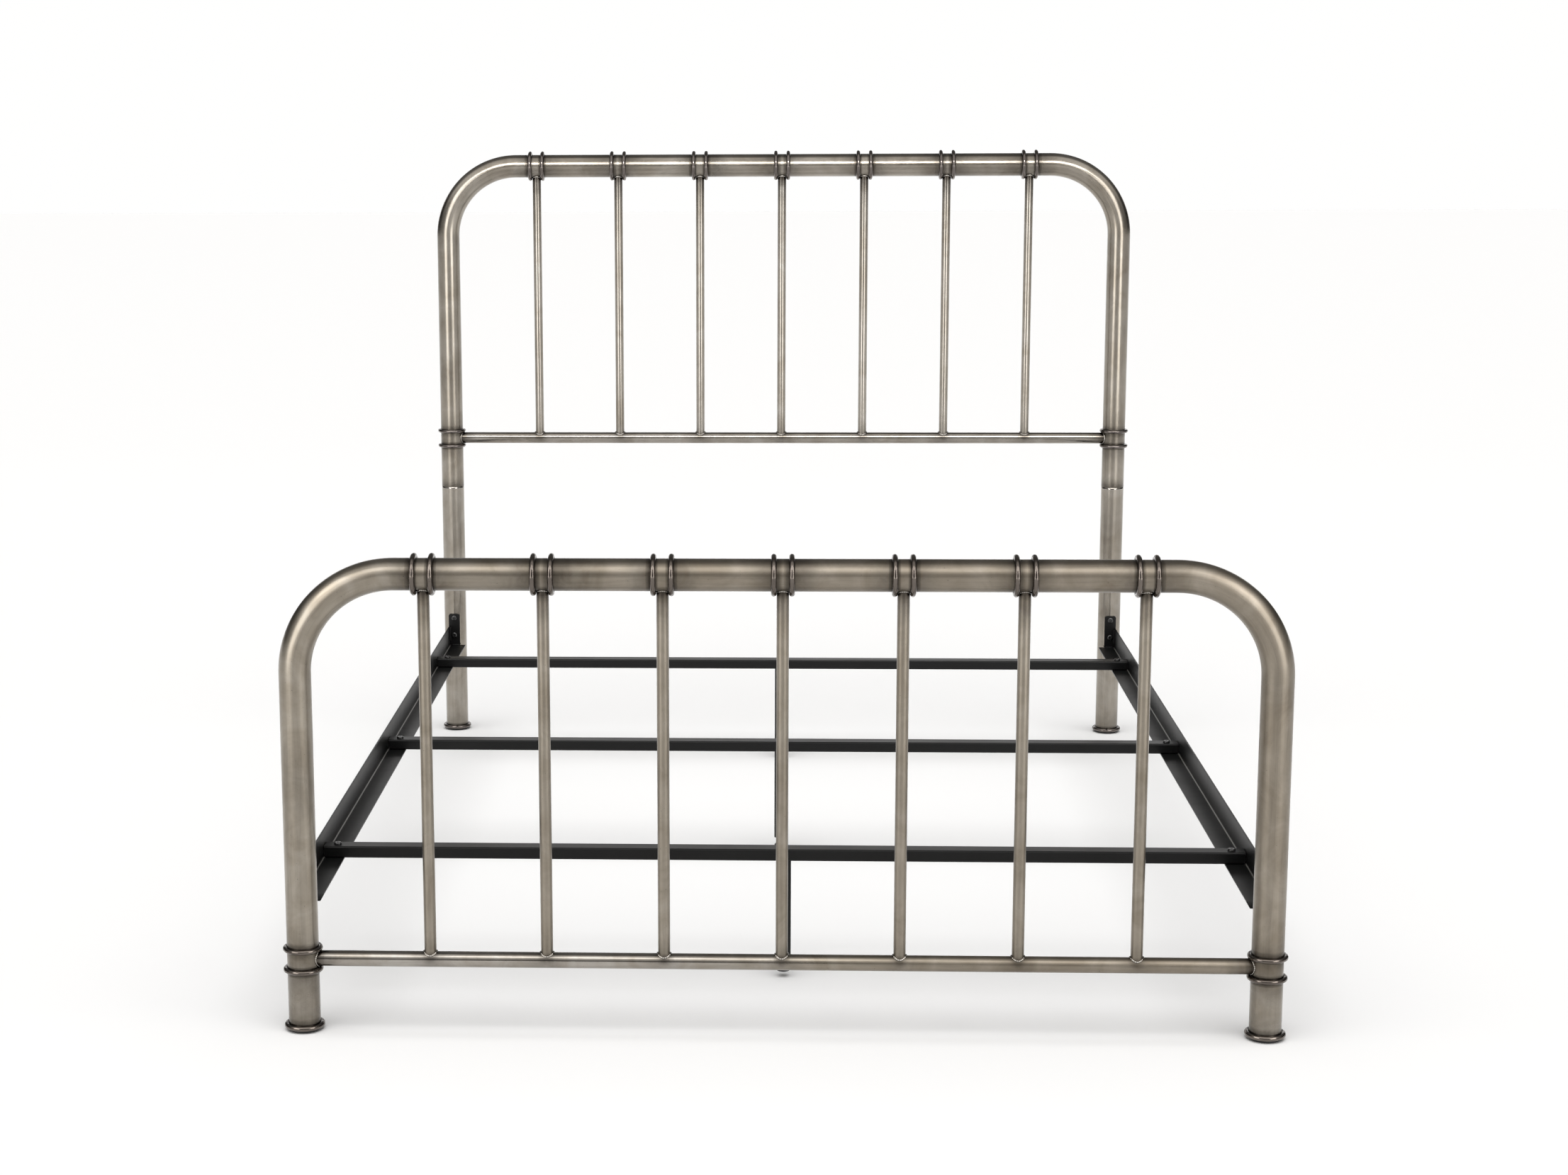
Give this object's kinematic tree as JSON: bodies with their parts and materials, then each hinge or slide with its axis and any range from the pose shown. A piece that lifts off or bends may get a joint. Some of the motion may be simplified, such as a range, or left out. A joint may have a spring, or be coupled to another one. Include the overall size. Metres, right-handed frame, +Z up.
{
  "type": "bed frame",
  "caption": "Queen-size metal bed frame with arched tubular headboard and footboard, upright spindles, wire ring collars, angle side rails, cross slats and levelling centre legs.",
  "frame": {"origin": "on the floor, midway between the headboard and the footboard and between the side rails", "axes": "+Z up, +Y towards the headboard, +X towards the right-hand side rail as seen from the footboard"},
  "size_m": [1.5898, 2.1512, 1.3457],
  "materials": {
    "pewter_tube": "burnished antique pewter, clear coated",
    "pewter_ring": "burnished antique pewter, dark in the seams",
    "pewter_screw": "dark pewter",
    "black_rail": "satin black powder coat",
    "black_hardware": "black oxide",
    "zinc_steel": "zinc plated",
    "glide_plastic": "black moulded",
    "plug_plastic": "black moulded"
  },
  "bodies": {
    "bed_frame": {"center_leg_foot": "black_rail", "center_leg_head": "black_rail", "center_leg_middle": "black_rail", "cross_slat_foot": "black_rail", "cross_slat_head": "black_rail", "cross_slat_middle": "black_rail", "footboard_arch_tube": "pewter_tube", "footboard_foot_ring_left": "pewter_ring", "footboard_foot_ring_right": "pewter_ring", "footboard_glide_left": "glide_plastic", "footboard_glide_right": "glide_plastic", "footboard_lower_bar": "pewter_tube", "footboard_post_rings_left": "pewter_ring", "footboard_post_rings_right": "pewter_ring", "footboard_spindle_1": "pewter_tube", "footboard_spindle_2": "pewter_tube", "footboard_spindle_3": "pewter_tube", "footboard_spindle_4": "pewter_tube", "footboard_spindle_5": "pewter_tube", "footboard_spindle_6": "pewter_tube", "footboard_spindle_7": "pewter_tube", "footboard_top_rings": "pewter_ring", "headboard_arch_tube": "pewter_tube", "headboard_foot_ring_left": "pewter_ring", "headboard_foot_ring_right": "pewter_ring", "headboard_glide_left": "glide_plastic", "headboard_glide_right": "glide_plastic", "headboard_leg_left": "pewter_tube", "headboard_leg_right": "pewter_tube", "headboard_leg_screws": "pewter_screw", "headboard_lower_bar": "pewter_tube", "headboard_post_rings_left": "pewter_ring", "headboard_post_rings_right": "pewter_ring", "headboard_spindle_1": "pewter_tube", "headboard_spindle_2": "pewter_tube", "headboard_spindle_3": "pewter_tube", "headboard_spindle_4": "pewter_tube", "headboard_spindle_5": "pewter_tube", "headboard_spindle_6": "pewter_tube", "headboard_spindle_7": "pewter_tube", "headboard_top_rings": "pewter_ring", "leg_inserts": "plug_plastic", "post_inserts": "zinc_steel", "rail_bolts": "black_hardware", "rail_plate_foot_left": "black_rail", "rail_plate_foot_right": "black_rail", "rail_plate_head_left": "black_rail", "rail_plate_head_right": "black_rail", "side_rail_left": "black_rail", "side_rail_right": "black_rail", "slat_bolts": "black_hardware", "slat_nuts": "zinc_steel"},
    "pad_head": {"leg_pad_head": "glide_plastic"},
    "stem_head": {"leg_stem_head": "zinc_steel"},
    "pad_middle": {"leg_pad_middle": "glide_plastic"},
    "stem_middle": {"leg_stem_middle": "zinc_steel"},
    "pad_foot": {"leg_pad_foot": "glide_plastic"},
    "stem_foot": {"leg_stem_foot": "zinc_steel"}
  },
  "joints": [
    {"name": "pad_lift_head", "type": "slide", "parent": "bed_frame", "child": "pad_head", "axis": [0, 0, 1], "range_m": [-0.0106, 0.0026]},
    {"name": "stem_turn_head", "type": "hinge", "parent": "pad_head", "child": "stem_head", "pos_m": [0, 0.775, 0.05], "axis": [0, 0, 1], "range_deg": [-3024, 720]},
    {"name": "pad_lift_middle", "type": "slide", "parent": "bed_frame", "child": "pad_middle", "axis": [0, 0, 1], "range_m": [-0.0106, 0.0026]},
    {"name": "stem_turn_middle", "type": "hinge", "parent": "pad_middle", "child": "stem_middle", "pos_m": [0, 0.002, 0.05], "axis": [0, 0, 1], "range_deg": [-3024, 720]},
    {"name": "pad_lift_foot", "type": "slide", "parent": "bed_frame", "child": "pad_foot", "axis": [0, 0, 1], "range_m": [-0.0106, 0.0026]},
    {"name": "stem_turn_foot", "type": "hinge", "parent": "pad_foot", "child": "stem_foot", "pos_m": [0.0035, -0.761, 0.05], "axis": [0, 0, 1], "range_deg": [-3024, 720]}
  ],
  "couplings": [
    {"joint": "pad_lift_head", "follows": "stem_turn_head", "m_per_rad": 0.00019894},
    {"joint": "pad_lift_middle", "follows": "stem_turn_middle", "m_per_rad": 0.00019894},
    {"joint": "pad_lift_foot", "follows": "stem_turn_foot", "m_per_rad": 0.00019894}
  ]
}
